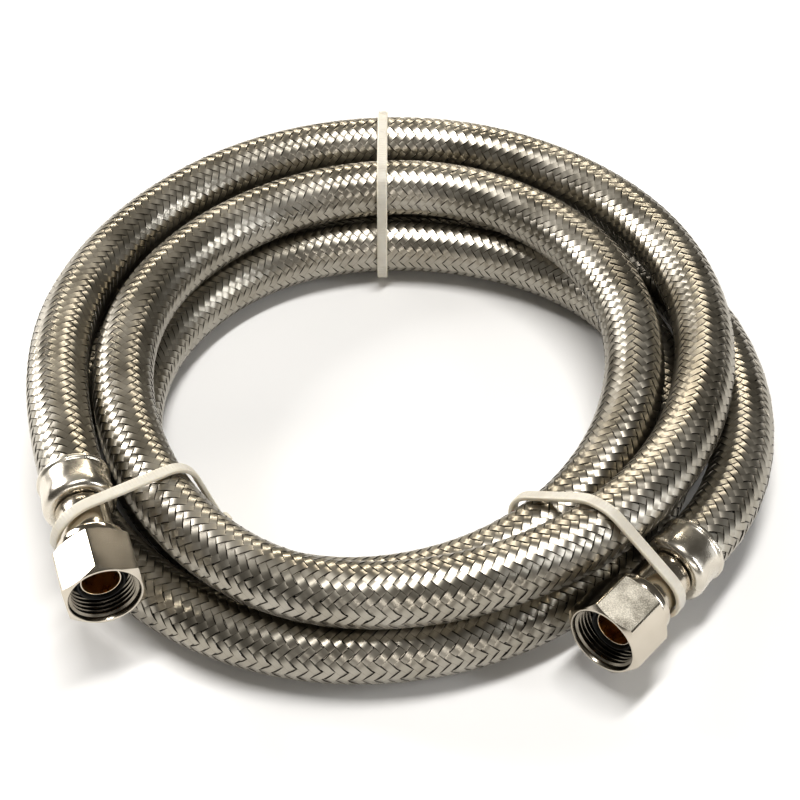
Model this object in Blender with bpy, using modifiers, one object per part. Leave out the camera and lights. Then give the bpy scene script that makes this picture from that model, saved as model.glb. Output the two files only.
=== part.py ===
"""Braided supply line with a swivel nut at each end, coiled in four strands and held by three ties.

The origin is on the floor under the middle of the coil. +X is to the right and -Y is the
front, where both nuts point.
"""

import math

import bmesh
import bpy
import numpy as np
from mathutils import Matrix, Vector

MM = 0.001
GAP = 0.3 * MM

# Hose
HOSE_OUTER = 7.0 * MM
BRAID_WALL = 0.6 * MM
LINER_OUTER = HOSE_OUTER - BRAID_WALL - GAP
LINER_WALL = 2.0 * MM
HOSE_IN_FERRULE = 9.3 * MM
POINTS_PER_STATION = 3

# Lay of the coil: one radius for each eighth of a turn, clockwise seen from above
COIL_CENTRE = (-5.05 * MM, -1.65 * MM)
FIRST_STATION = 165
STATION_STEP = 45
TURN_RADII_MM = (
    (73.5, 76.5, 80.5, 79, 74, 73, 73, 61.5),
    (57.5, 58, 62, 61, 59, 61, 62.5, 60),
    (56, 55, 57, 65.5, 68.5, 74, 77.5, 75.5),
    (70.5, 69.5, 72, 82),
)
UPPER_LAYER = 22.6 * MM
LOWER_LAYER = 8.4 * MM
DROP_START, DROP_END = -320, -500

# Fittings: middle of the nut's face from the coil's centre, heading from the front, rise, nut's turn
FITTINGS = {
    "a": ((-54 * MM, -77 * MM, 26 * MM), 18, -1, 35),
    "b": ((46 * MM, -79.5 * MM, 15 * MM), -40, 1, 48),
}
FITTING_LENGTH = 35.0 * MM

# Swivel nut for a 9/16 in - 24 compression thread, 5/8 in across its flats
NUT_ACROSS_FLATS = 15.9 * MM
NUT_REAR = 20.5 * MM
HEX_REAR = 23.4 * MM
THREAD_MINOR = 6.65 * MM
THREAD_MOUTH = 7.25 * MM
ROUND_STEPS = 24

# Retaining ring in the nut, which the nut carries along as it slides on the neck
RING_REAR = HEX_REAR + 0.4 * MM
RING_WIDTH = 1.0 * MM
SLIDE = 1.5 * MM

# Ferrule
FERRULE_START = 1.5 * MM
FERRULE_END = 10.7 * MM

# Stem
NECK = 5.7 * MM
NECK_START = FERRULE_END + 0.4 * MM
GROOVE = 4.4 * MM
BORE = 3.0 * MM
TIP = 4.3 * MM
TIP_BORE = 3.6 * MM
TIP_END = 30.8 * MM
FLANGE_REAR = RING_REAR + RING_WIDTH + SLIDE + GAP
FLANGE_FRONT = FLANGE_REAR + 1.2 * MM
FLANGE = 6.3 * MM

# Ties
STRAP_WIDTH = 2.6 * MM
STRAP_THICK = 1.1 * MM
STRAP_SPACING = 2.2 * MM
STRAP_REACH = 30 * MM
HEAD_SIZE = (4.6 * MM, 3.6 * MM, 4.8 * MM)


def clear_scene():
    for obj in list(bpy.data.objects):
        bpy.data.objects.remove(obj)


def new_collection(name):
    collection = bpy.data.collections.new(name)
    bpy.context.scene.collection.children.link(collection)
    return collection


def material(name, colour, roughness, metallic):
    mat = bpy.data.materials.new(name)
    mat.use_nodes = True
    shader = mat.node_tree.nodes["Principled BSDF"]
    shader.inputs["Base Color"].default_value = (*colour, 1)
    shader.inputs["Roughness"].default_value = roughness
    shader.inputs["Metallic"].default_value = metallic
    return mat


def finish(obj):
    """Applies the modifiers and shades the round faces smooth."""
    bpy.context.view_layer.update()
    graph = bpy.context.evaluated_depsgraph_get()
    mesh = bpy.data.meshes.new_from_object(obj.evaluated_get(graph))
    obj.modifiers.clear()
    obj.data = mesh
    mesh.name = obj.name
    mesh.shade_smooth()
    mesh.set_sharp_from_angle(angle=math.radians(30))


# Route of the hose


def fitting_axis(name):
    """Rear end of the ferrule and the direction in which the nut points."""
    face, heading, rise, _ = FITTINGS[name]
    heading, rise = math.radians(heading), math.radians(rise)
    direction = np.array(
        [math.sin(heading) * math.cos(rise), -math.cos(heading) * math.cos(rise), math.sin(rise)]
    )
    middle = np.array(face) + [*COIL_CENTRE, 0]
    return middle - FITTING_LENGTH * direction, direction


def layer_height(angle):
    """The strand lies in the upper layer, then comes down into the lower one."""
    part = min(max((DROP_START - angle) / (DROP_START - DROP_END), 0), 1)
    return UPPER_LAYER + (LOWER_LAYER - UPPER_LAYER) * part * part * (3 - 2 * part)


def coil_stations():
    stations = []
    radii = [radius * MM for turn in TURN_RADII_MM for radius in turn]
    for index, radius in enumerate(radii):
        angle = FIRST_STATION - STATION_STEP * index
        around = math.radians(angle)
        x = COIL_CENTRE[0] + radius * math.cos(around)
        y = COIL_CENTRE[1] + radius * math.sin(around)
        stations.append((x, y, layer_height(angle)))
    return stations


def smooth_curve(points, first_slope, last_slope, steps):
    """Clamped cubic through the points, with that many steps from each point to the next."""
    spans = np.linalg.norm(np.diff(points, axis=0), axis=1)
    count = len(points)
    matrix = np.eye(count)
    right = np.zeros((count, 3))
    right[0], right[-1] = first_slope, last_slope
    for i in range(1, count - 1):
        before, after = spans[i - 1], spans[i]
        matrix[i, i - 1 : i + 2] = after, 2 * (before + after), before
        arriving = (points[i] - points[i - 1]) / before
        leaving = (points[i + 1] - points[i]) / after
        right[i] = 3 * (after * arriving + before * leaving)
    slopes = np.linalg.solve(matrix, right)
    curve = []
    for i in range(count - 1):
        for step in range(steps):
            t = step / steps
            curve.append(
                points[i] * (1 + 2 * t) * (1 - t) ** 2
                + slopes[i] * spans[i] * t * (1 - t) ** 2
                + points[i + 1] * t * t * (3 - 2 * t)
                + slopes[i + 1] * spans[i] * t * t * (t - 1)
            )
    curve.append(points[-1])
    return np.array(curve)


def hose_route(steps):
    """From ferrule a's rear end, round the coil, to ferrule b's rear end."""
    start, out_a = fitting_axis("a")
    end, out_b = fitting_axis("b")
    points = np.array([start, *coil_stations(), end])
    return smooth_curve(points, -out_a, out_b, steps)


def hose_points(steps):
    """The route with its two straight ends inside the ferrules."""
    start, out_a = fitting_axis("a")
    end, out_b = fitting_axis("b")
    inside = (HOSE_IN_FERRULE, HOSE_IN_FERRULE / 2)
    head = [start + depth * out_a for depth in inside]
    tail = [end + depth * out_b for depth in reversed(inside)]
    return np.array([*head, *hose_route(steps), *tail])


def add_tube(name, outer, wall, mat, collection):
    """A hollow tube along the hose, open at both ends."""
    points = hose_points(POINTS_PER_STATION)
    curve = bpy.data.curves.new(name, "CURVE")
    curve.dimensions = "3D"
    curve.twist_mode = "Z_UP"
    curve.bevel_depth = outer
    curve.bevel_resolution = 3
    curve.use_fill_caps = False
    spline = curve.splines.new("POLY")
    spline.points.add(len(points) - 1)
    for point, place in zip(spline.points, points):
        point.co = (*place, 1)
    curve.materials.append(mat)
    tube = bpy.data.objects.new(name, curve)
    collection.objects.link(tube)
    solidify = tube.modifiers.new("wall", "SOLIDIFY")
    solidify.thickness = wall
    solidify.offset = -1
    return tube


# Fittings


def add_fitting_axis(name, collection):
    """An empty at the ferrule's rear end, whose Z is the fitting's axis."""
    rear, out = fitting_axis(name)
    out = Vector(out)
    across = out.cross(Vector((0, 0, 1))).normalized()
    turn = Matrix((across, out.cross(across), out)).transposed().to_4x4()
    empty = bpy.data.objects.new("fitting_axis_" + name, None)
    empty.empty_display_size = 0.01
    empty.matrix_world = Matrix.Translation(Vector(rear)) @ turn
    collection.objects.link(empty)
    return empty


def add_turned(name, profile, axis, mat, collection):
    """Turns a closed profile of (radius, height) in millimetres, given down its outer side first."""
    mesh = bpy.data.meshes.new(name)
    points = [(radius * MM, 0, height * MM) for radius, height in profile]
    edges = [(i, (i + 1) % len(points)) for i in range(len(points))]
    mesh.from_pydata(points, edges, [])
    mesh.materials.append(mat)
    turned = bpy.data.objects.new(name, mesh)
    collection.objects.link(turned)
    turned.parent = axis
    screw = turned.modifiers.new("turn", "SCREW")
    screw.steps = screw.render_steps = ROUND_STEPS
    screw.use_merge_vertices = True
    screw.merge_threshold = 0.00001
    screw.use_smooth_shade = False
    return turned


def add_cutter(name, form, axis, cutters):
    """A hidden helper for a Boolean, made from a bmesh."""
    mesh = bpy.data.meshes.new(name)
    form.to_mesh(mesh)
    form.free()
    cutter = bpy.data.objects.new(name, mesh)
    cutter.hide_render = True
    cutter.display_type = "WIRE"
    cutters.objects.link(cutter)
    cutter.parent = axis
    return cutter


def add_ferrule(side, axis, mat, collection):
    """Crimped sleeve: a rolled lip, a barrel that swells forward and a front wall on the stem."""
    start, end = FERRULE_START / MM, FERRULE_END / MM
    wall = (HOSE_IN_FERRULE + GAP) / MM
    front = [(5.2, end), (6.2, end - 0.1), (7.2, end - 0.8), (7.8, end - 2.0), (7.8, end - 3.2)]
    barrel = [(7.55, start + 2.6), (7.5, start + 1.2)]
    lip = [(7.85, start + 0.9), (7.85, start + 0.2), (7.6, start)]
    inner = [(7.3, start), (7.3, wall), (4.7, wall), (4.7, end)]
    profile = front + barrel + lip + inner
    return add_turned("ferrule_" + side, profile, axis, mat, collection)


def add_stem(side, axis, mat, collection):
    """Barbed insert: barbs in the liner, a groove in the ferrule, the neck, the flange and the tip."""
    neck, groove, flange, tip = NECK / MM, GROOVE / MM, FLANGE / MM, TIP / MM
    rear, front, end = FLANGE_REAR / MM, FLANGE_FRONT / MM, TIP_END / MM
    start = NECK_START / MM
    profile = [(tip, end), (tip, front), (flange, front), (flange, rear), (neck, rear), (neck, start)]
    hose_end = HOSE_IN_FERRULE / MM
    profile += [(groove, start), (groove, hose_end + GAP / MM), (3.45, hose_end)]
    for barb in (7.4, 5.0, 2.6):
        profile += [(3.45, barb + 0.2), (3.2, barb)]
    profile += [(3.2, 0.8), (BORE / MM, 0.8)]
    profile += [(BORE / MM, front), (TIP_BORE / MM, front + 0.6), (TIP_BORE / MM, end)]
    return add_turned("stem_" + side, profile, axis, mat, collection)


def add_cone_washer(side, axis, mat, collection):
    rear = (FLANGE_FRONT + GAP) / MM
    front = rear + 3.4
    bore = (TIP + GAP) / MM
    profile = [(5.1, front), (6.2, rear + 1.0), (6.2, rear), (bore, rear), (bore, front)]
    return add_turned("cone_washer_" + side, profile, axis, mat, collection)


def add_retaining_ring(side, axis, mat, collection, cutters):
    """Split ring that sits in the nut's groove and catches the stem's flange."""
    rear = RING_REAR / MM
    front = rear + RING_WIDTH / MM
    profile = [(6.9, front), (6.9, rear), (6.0, rear), (6.0, front)]
    ring = add_turned("retaining_ring_" + side, profile, axis, mat, collection)
    form = bmesh.new()
    bmesh.ops.create_cube(form, size=1)
    bmesh.ops.scale(form, vec=(4 * MM, 3 * MM, 3 * MM), verts=form.verts)
    bmesh.ops.translate(form, vec=(6.5 * MM, 0, RING_REAR + RING_WIDTH / 2), verts=form.verts)
    split = ring.modifiers.new("split", "BOOLEAN")
    split.object = add_cutter("ring_split_" + side, form, axis, cutters)
    return ring


def add_nut(side, axis, mat, collection, cutters):
    """Hexagon nut with a rounded collar behind, chamfered ends and a groove for the ring."""
    rear, hexagon, face = NUT_REAR / MM, HEX_REAR / MM, FITTING_LENGTH / MM
    minor, mouth = THREAD_MINOR / MM, THREAD_MOUTH / MM
    groove_rear = (RING_REAR - GAP) / MM
    groove_front = (RING_REAR + RING_WIDTH + GAP) / MM
    outer = [(7.8, face), (9.3, face - 0.9), (9.3, hexagon + 0.9), (7.8, hexagon)]
    collar = [(7.45, hexagon - 0.3), (7.45, rear + 0.9), (6.8, rear + 0.1)]
    bore = [(6.3, rear), (6.1, rear + 0.3), (6.1, groove_rear)]
    groove = [(7.2, groove_rear), (7.2, groove_front)]
    thread = [(minor, groove_front), (minor, face - 0.7), (mouth, face)]
    profile = outer + collar + bore + groove + thread
    nut = add_turned("nut_" + side, profile, axis, mat, collection)
    form = bmesh.new()
    radius = NUT_ACROSS_FLATS / 2 / math.cos(math.pi / 6)
    depth = 3 * FITTING_LENGTH
    bmesh.ops.create_cone(
        form, cap_ends=True, segments=6, radius1=radius, radius2=radius, depth=depth
    )
    hexagon_bar = add_cutter("hexagon_bar_" + side, form, axis, cutters)
    # A six-sided cone has a corner on Y, so this puts a corner of the nut at its turn from X.
    hexagon_bar.rotation_euler.z = math.radians(FITTINGS[side][3] + 30)
    trim = nut.modifiers.new("flats", "BOOLEAN")
    trim.operation = "INTERSECT"
    trim.object = hexagon_bar
    return nut


# Ties


def fitting_radius(depth):
    """Outer radius of a fitting at that distance from the ferrule's rear end."""
    if depth < FERRULE_START:
        return HOSE_OUTER
    if depth < NECK_START:
        return 7.85 * MM
    return NECK


def bundle_surface():
    """Points over the outside of the hose, the ferrules and the necks."""
    rings = []
    for points in (hose_route(40), hose_route(POINTS_PER_STATION)):
        for a, b in zip(points[:-1], points[1:]):
            pieces = max(1, round(np.linalg.norm(b - a) / (0.6 * MM)))
            rings += [(a + (b - a) * i / pieces, b - a, HOSE_OUTER) for i in range(pieces)]
    for side in FITTINGS:
        rear, out = fitting_axis(side)
        depths = np.arange(0, NUT_REAR, 0.4 * MM)
        rings += [(rear + out * depth, out, fitting_radius(depth)) for depth in depths]
    middle = np.array([ring[0] for ring in rings])
    along = np.array([ring[1] for ring in rings])
    along /= np.linalg.norm(along, axis=1)[:, None]
    radius = np.array([ring[2] for ring in rings])[:, None]
    side = np.cross(along, [0, 0, 1])
    side /= np.linalg.norm(side, axis=1)[:, None]
    up = np.cross(side, along)
    turns = np.radians(np.arange(0, 360, 10))
    return np.concatenate(
        [middle + radius * (side * math.cos(turn) + up * math.sin(turn)) for turn in turns]
    )


def hull(points):
    """Convex outline, anticlockwise."""
    points = sorted(map(tuple, points))

    def chain(ordered):
        line = []
        for p in ordered:
            while len(line) > 1:
                (ax, ay), (bx, by) = line[-2:]
                if (bx - ax) * (p[1] - ay) - (by - ay) * (p[0] - ax) > 0:
                    break
                line.pop()
            line.append(p)
        return line[:-1]

    return np.array(chain(points) + chain(points[::-1]))


def strap_outline(surface, middle, across, clearance):
    """Inner edge of a strap drawn tight round all that crosses its plane, as (across, up) points."""
    normal = np.cross(across, [0, 0, 1])
    offset = surface - middle
    near = np.abs(offset @ normal) < STRAP_WIDTH / 2 + GAP
    near &= np.linalg.norm(offset[:, :2], axis=1) < STRAP_REACH
    flat = np.c_[offset[near] @ across, surface[near][:, 2]]
    turns = np.radians(np.arange(0, 360, 15))
    grown = [flat + clearance * np.array([math.cos(turn), math.sin(turn)]) for turn in turns]
    return hull(np.concatenate(grown))


def evened(outline, spacing):
    """The same closed outline with its points evenly spaced."""
    closed = np.vstack([outline, outline[:1]])
    along = np.r_[0, np.cumsum(np.linalg.norm(np.diff(closed, axis=0), axis=1))]
    count = round(along[-1] / spacing)
    places = np.linspace(0, along[-1], count, endpoint=False)
    return np.c_[np.interp(places, along, closed[:, 0]), np.interp(places, along, closed[:, 1])]


# Each tie: middle of the bundle from the coil's centre, heading of its plane, head's side and height
TIES = {
    "tie_top": ((0.5 * MM, 64 * MM), 90, 1, 12 * MM),
    "tie_left": ((-52.8 * MM, -53.2 * MM), 38, 1, 4.5 * MM),
    "tie_right": ((48.5 * MM, -57.8 * MM), -38, -1, 4.5 * MM),
}


def tie_frame(name):
    """X runs across the bundle, Y runs up and Z along the strands."""
    (x, y), heading, _, _ = TIES[name]
    middle = Vector((COIL_CENTRE[0] + x, COIL_CENTRE[1] + y, 0))
    upright = Matrix.Rotation(math.pi / 2, 4, "X")
    return Matrix.Translation(middle) @ Matrix.Rotation(math.radians(heading), 4, "Z") @ upright


def add_strap(name, outline, mat, collection):
    """A closed band: the outline drawn as a flat curve, widened and thickened."""
    curve = bpy.data.curves.new(name, "CURVE")
    curve.dimensions = "2D"
    curve.fill_mode = "NONE"
    curve.extrude = STRAP_WIDTH / 2
    spline = curve.splines.new("POLY")
    spline.points.add(len(outline) - 1)
    for point, (right, up) in zip(spline.points, outline):
        point.co = (right, up, 0, 1)
    spline.use_cyclic_u = True
    ribbon = bpy.data.objects.new(name, curve)
    collection.objects.link(ribbon)
    bpy.context.view_layer.update()
    graph = bpy.context.evaluated_depsgraph_get()
    mesh = bpy.data.meshes.new_from_object(ribbon.evaluated_get(graph))
    bpy.data.objects.remove(ribbon)
    mesh.name = name
    mesh.materials.clear()
    mesh.materials.append(mat)
    strap = bpy.data.objects.new(name, mesh)
    collection.objects.link(strap)
    strap.matrix_world = tie_frame(name)
    solidify = strap.modifiers.new("thickness", "SOLIDIFY")
    solidify.thickness = STRAP_THICK
    solidify.offset = 0
    return strap


def add_tie_head(name, outline, cutters):
    """Locking head astride the strap, at its own height on its own side of the bundle."""
    _, _, side, height = TIES[name]
    on_side = [i for i in range(len(outline)) if side * outline[i][0] > 0]
    index = min(on_side, key=lambda i: abs(outline[i][1] - height))
    before, after = outline[index - 1], outline[(index + 1) % len(outline)]
    lean = math.atan2(after[1] - before[1], after[0] - before[0])
    form = bmesh.new()
    bmesh.ops.create_cube(form, size=1)
    bmesh.ops.scale(form, vec=HEAD_SIZE, verts=form.verts)
    head = add_cutter(name + "_head", form, None, cutters)
    # The outline runs anticlockwise, so its outer side is to the right of its direction.
    outward = Matrix.Translation((0, -(HEAD_SIZE[1] - STRAP_THICK) / 2, 0))
    place = Matrix.Translation((*outline[index], 0)) @ Matrix.Rotation(lean, 4, "Z")
    head.matrix_world = tie_frame(name) @ place @ outward
    return head


def add_tie(name, surface, mat, collection, cutters):
    """Nylon strap drawn tight round the bundle, joined to its head."""
    frame = tie_frame(name)
    across = np.array(frame.col[0][:3])
    middle = np.array(frame.translation)
    clearance = GAP + STRAP_THICK / 2
    outline = evened(strap_outline(surface, middle, across, clearance), STRAP_SPACING)
    strap = add_strap(name, outline, mat, collection)
    join = strap.modifiers.new("head", "BOOLEAN")
    join.operation = "UNION"
    join.object = add_tie_head(name, outline, cutters)
    return strap


def main():
    clear_scene()
    parts = new_collection("braided_supply_line")
    cutters = new_collection("cutters")

    steel = material("braided stainless steel", (0.42, 0.40, 0.37), 0.35, 1.0)
    rubber = material("liner rubber", (0.03, 0.03, 0.032), 0.6, 0.0)
    ferrule_metal = material("crimped stainless steel", (0.62, 0.58, 0.53), 0.3, 1.0)
    brass = material("stem brass", (0.62, 0.43, 0.22), 0.3, 1.0)
    nickel = material("nickel plate", (0.66, 0.62, 0.56), 0.25, 1.0)
    spring = material("spring steel", (0.45, 0.45, 0.46), 0.35, 1.0)
    seal = material("seal rubber", (0.02, 0.02, 0.02), 0.5, 0.0)
    nylon = material("natural nylon", (0.85, 0.83, 0.77), 0.4, 0.0)

    add_tube("braid_sleeve", HOSE_OUTER, BRAID_WALL, steel, parts)
    add_tube("inner_tube", LINER_OUTER, LINER_WALL, rubber, parts)
    for side in FITTINGS:
        axis = add_fitting_axis(side, parts)
        add_ferrule(side, axis, ferrule_metal, parts)
        add_stem(side, axis, brass, parts)
        add_cone_washer(side, axis, seal, parts)
        add_retaining_ring(side, axis, spring, parts, cutters)
        add_nut(side, axis, nickel, parts, cutters)
    surface = bundle_surface()
    for name in TIES:
        add_tie(name, surface, nylon, parts, cutters)
    for obj in parts.objects:
        if obj.type == "MESH":
            finish(obj)


main()
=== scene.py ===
# %% [markdown]
# # A braided supply line, coiled and tied
#
# The object is a flexible water line: a rubber tube in a sleeve of woven steel ribbons, with a
# crimped ferrule, a turned stem and a swivel nut at each end. It lies in a coil of four strands
# held by three nylon ties. The solid model of every part is already there, loaded as a frame.
# This script gives each part its real surface: the weave is made ribbon by ribbon, the nuts get
# real threads, and each metal gets its own finish.

import math

import bmesh
import bpy
import numpy as np
from mathutils import Matrix, Vector


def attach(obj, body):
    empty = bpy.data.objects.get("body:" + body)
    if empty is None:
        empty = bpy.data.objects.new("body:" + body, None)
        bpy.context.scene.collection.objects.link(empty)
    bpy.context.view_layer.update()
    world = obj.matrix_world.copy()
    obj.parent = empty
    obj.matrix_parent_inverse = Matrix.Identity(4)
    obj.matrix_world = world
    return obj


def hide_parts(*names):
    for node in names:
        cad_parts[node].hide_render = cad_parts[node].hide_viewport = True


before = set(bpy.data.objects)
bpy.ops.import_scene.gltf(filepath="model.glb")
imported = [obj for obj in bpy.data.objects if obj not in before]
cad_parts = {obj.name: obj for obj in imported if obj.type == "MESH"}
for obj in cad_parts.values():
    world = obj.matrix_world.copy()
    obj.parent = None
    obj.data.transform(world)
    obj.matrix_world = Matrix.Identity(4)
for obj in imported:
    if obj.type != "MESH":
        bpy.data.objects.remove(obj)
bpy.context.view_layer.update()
MM = 0.001

# %% [markdown]
# ## The camera
#
# A long lens from about half a metre away, 44 degrees above the floor. A long lens keeps the near
# and the far side of the coil close to the same size, as in a catalogue picture. The camera is
# made first, because how much of a loose hose is in view is measured from it.

# %% Camera
CAMERA_TARGET = Vector((-0.05, -10.65, 15)) * MM
CAMERA_ELEVATION = math.radians(44)
CAMERA_DISTANCE = 430 * MM

camera_data = bpy.data.cameras.new("camera")
camera_data.lens = 84
camera_data.sensor_width = 36
camera = bpy.data.objects.new("camera", camera_data)
bpy.context.scene.collection.objects.link(camera)
backwards = Vector((0, -math.cos(CAMERA_ELEVATION), math.sin(CAMERA_ELEVATION)))
camera.location = CAMERA_TARGET + backwards * CAMERA_DISTANCE
camera.rotation_euler = backwards.to_track_quat("Z", "Y").to_euler()
bpy.context.scene.camera = camera
print("camera at", [round(v, 3) for v in camera.location])

# %% [markdown]
# ## The route of the hose
#
# The hose is 14 mm across. It leaves the left fitting, runs clockwise round the coil three and a
# half times, first in the upper layer and then in the lower one, and ends in the right fitting.
# Its route could be drawn by hand, but a table of radii, one for each eighth of a turn, is easier
# to read and to change. A clamped cubic curve through those points leaves each fitting straight
# and has no kinks.

# %% Sizes of the hose and the fittings
HOSE_RADIUS = 7.0 * MM
COIL_CENTRE = Vector((-5.05, -1.65, 0)) * MM
FIRST_STATION, STATION_STEP = 165, 45
TURN_RADII_MM = (
    (73.5, 76.5, 80.5, 79, 74, 73, 73, 61.5),
    (57.5, 58, 62, 61, 59, 61, 62.5, 60),
    (56, 55, 57, 65.5, 68.5, 74, 77.5, 75.5),
    (70.5, 69.5, 72, 82),
)
UPPER_LAYER, LOWER_LAYER = 22.6 * MM, 8.4 * MM
DROP_START, DROP_END = -320, -500
FITTING_LENGTH = 35.0 * MM
HOSE_IN_FERRULE = 9.3 * MM
# Middle of the nut's face from the coil's centre in mm, heading and rise in degrees, nut's turn
FITTINGS = {"a": ((-54, -77, 26), 18, -1, 35), "b": ((46, -79.5, 15), -40, 1, 48)}


def fitting_axis(side):
    """Rear end of the fitting, and the direction in which its nut points."""
    face, heading, rise, _ = FITTINGS[side]
    heading, rise = math.radians(heading), math.radians(rise)
    level = Vector((math.sin(heading), -math.cos(heading), 0)) * math.cos(rise)
    out = level + Vector((0, 0, math.sin(rise)))
    return Vector(face) * MM + COIL_CENTRE - out * FITTING_LENGTH, out


for side in FITTINGS:
    print("fitting", side, "starts at", [round(v / MM, 1) for v in fitting_axis(side)[0]], "mm")


# %% Route through the stations
def layer_height(angle):
    """Height of the hose's middle, which drops to the lower layer between two angles."""
    part = min(max((DROP_START - angle) / (DROP_START - DROP_END), 0), 1)
    return UPPER_LAYER + (LOWER_LAYER - UPPER_LAYER) * part * part * (3 - 2 * part)


def coil_stations():
    """The middle of the hose at each eighth of a turn."""
    stations = []
    for index, radius in enumerate(r * MM for turn in TURN_RADII_MM for r in turn):
        angle = FIRST_STATION - STATION_STEP * index
        around = math.radians(angle)
        flat = Vector((math.cos(around), math.sin(around), 0)) * radius + COIL_CENTRE
        stations.append((flat.x, flat.y, layer_height(angle)))
    return stations


def smooth_curve(points, first_slope, last_slope, steps):
    """Clamped cubic through the points, with that many steps from each point to the next."""
    spans = np.linalg.norm(np.diff(points, axis=0), axis=1)
    matrix, right = np.eye(len(points)), np.zeros((len(points), 3))
    right[0], right[-1] = first_slope, last_slope
    for i in range(1, len(points) - 1):
        before, after = spans[i - 1], spans[i]
        matrix[i, i - 1 : i + 2] = after, 2 * (before + after), before
        arriving, leaving = (points[i] - points[i - 1]) / before, (points[i + 1] - points[i]) / after
        right[i] = 3 * (after * arriving + before * leaving)
    slopes = np.linalg.solve(matrix, right)
    curve = []
    for i, span in enumerate(spans):
        for t in np.arange(steps) / steps:
            curve.append(
                points[i] * (1 + 2 * t) * (1 - t) ** 2
                + slopes[i] * span * t * (1 - t) ** 2
                + points[i + 1] * t * t * (3 - 2 * t)
                + slopes[i + 1] * span * t * t * (t - 1)
            )
    return np.array([*curve, points[-1]])


def hose_route(steps):
    """From fitting a's rear end, round the coil, to fitting b's rear end."""
    (start, out_a), (end, out_b) = fitting_axis("a"), fitting_axis("b")
    points = np.array([start, *coil_stations(), end])
    return smooth_curve(points, -out_a, out_b, steps)


ROUTE_STEPS = 12
(start_a, out_a), (start_b, out_b) = fitting_axis("a"), fitting_axis("b")
route = [start_a + out_a * HOSE_IN_FERRULE, *hose_route(ROUTE_STEPS), start_b + out_b * HOSE_IN_FERRULE]
route = np.array(route)
HOSE_LENGTH = float(np.linalg.norm(np.diff(route, axis=0), axis=1).sum())
print(f"the hose is {HOSE_LENGTH:.3f} m long, with {len(route)} points on its route")

# %% [markdown]
# ## The rubber tube under the weave
#
# What shows in the small gaps between the ribbons is the black tube that carries the water. A
# curve with a round bevel is all it needs: it follows the same route as the ribbons do, and it
# has the hose's real length.

# %% Rubber tube
TUBE_RADIUS = 6.2 * MM


def line_object(name, points, cyclic=False):
    """A curve object with one straight-sided spline through the points."""
    curve = bpy.data.curves.new(name, "CURVE")
    curve.dimensions = "3D"
    curve.twist_mode = "Z_UP"
    spline = curve.splines.new("POLY")
    spline.points.add(len(points) - 1)
    spline.points.foreach_set("co", np.c_[points, np.ones(len(points))].ravel())
    spline.use_cyclic_u = cyclic
    obj = bpy.data.objects.new(name, curve)
    bpy.context.scene.collection.objects.link(obj)
    return obj


rubber_tube = line_object("rubber_tube", route)
rubber_tube.data.bevel_depth = TUBE_RADIUS
rubber_tube.data.bevel_resolution = 4
rubber_tube.data.use_fill_caps = True
print("rubber tube,", 2 * TUBE_RADIUS / MM, "mm across")

# %% [markdown]
# ## Helpers for node trees
#
# Two kinds of node tree follow: Geometry Nodes, which make shapes, and shader nodes, which make
# finishes. Both are built the same way: add a node, set its values, link its sockets. One helper
# does that in a line, and takes either a number or another node's output for each input.


# %% Node helpers
def add_node(tree, kind, inputs=(), **settings):
    """Adds a node. inputs maps a socket's name or number to a value or to an output socket."""
    node = tree.nodes.new(kind)
    for name, value in settings.items():
        setattr(node, name, value)
    for key, value in dict(inputs).items():
        socket = node.inputs[key]
        if isinstance(value, bpy.types.NodeSocket):
            tree.links.new(value, socket)
        else:
            socket.default_value = value
    return node


def maths(tree, operation, *values):
    return add_node(tree, "ShaderNodeMath", enumerate(values), operation=operation).outputs[0]


def vectors(tree, operation, *values):
    return add_node(tree, "ShaderNodeVectorMath", enumerate(values), operation=operation).outputs[0]


def scaled(tree, vector, factor):
    inputs = {0: vector, "Scale": factor}
    return add_node(tree, "ShaderNodeVectorMath", inputs, operation="SCALE").outputs[0]


def new_shape_tree(name, inputs):
    """A Geometry Nodes tree with named inputs: a dictionary of name to (socket type, default)."""
    tree = bpy.data.node_groups.new(name, "GeometryNodeTree")
    tree.interface.new_socket("Geometry", in_out="INPUT", socket_type="NodeSocketGeometry")
    for label, (kind, default) in inputs.items():
        socket = tree.interface.new_socket(label, in_out="INPUT", socket_type="NodeSocket" + kind)
        if default is not None:
            socket.default_value = default
    tree.interface.new_socket("Geometry", in_out="OUTPUT", socket_type="NodeSocketGeometry")
    return tree, tree.nodes.new("NodeGroupInput")


def end_shape_tree(tree, group_input, geometry):
    """Every shape tree ends the same way: real geometry, smooth, with its material."""
    real = add_node(tree, "GeometryNodeRealizeInstances", {0: geometry})
    smooth = add_node(tree, "GeometryNodeSetShadeSmooth", {0: real.outputs[0]})
    material = {0: smooth.outputs[0], "Material": group_input.outputs["Material"]}
    painted = add_node(tree, "GeometryNodeSetMaterial", material)
    add_node(tree, "NodeGroupOutput", {0: painted.outputs[0]})


def grow(source, tree, name, place=Matrix.Identity(4), **values):
    """Runs a shape tree on an object and leaves a plain mesh object in its place."""
    modifier = source.modifiers.new(tree.name, "NODES")
    modifier.node_group = tree
    for label, value in values.items():
        identifier = tree.interface.items_tree[label.replace("_", " ")].identifier
        modifier[identifier] = value
    bpy.context.view_layer.update()
    evaluated = source.evaluated_get(bpy.context.evaluated_depsgraph_get())
    mesh = bpy.data.meshes.new_from_object(evaluated)
    bpy.data.objects.remove(source)
    mesh.name = name
    mesh.transform(place)
    obj = bpy.data.objects.new(name, mesh)
    bpy.context.scene.collection.objects.link(obj)
    print(f"{name}: {sum(len(p.vertices) - 2 for p in mesh.polygons)} triangles")
    return obj


print("node helpers are ready")

# %% [markdown]
# ## Finishes that several materials share
#
# Real surfaces are never even: handling and plating leave soft patches, and blasting, casting
# or moulding leaves a fine grain. Each effect could be built again in every material, but one
# shader group for each is shorter, and every material gives it a scale of its own. A group
# gives out only what changes over the surface: colours, roughness, masks and normals.


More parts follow.
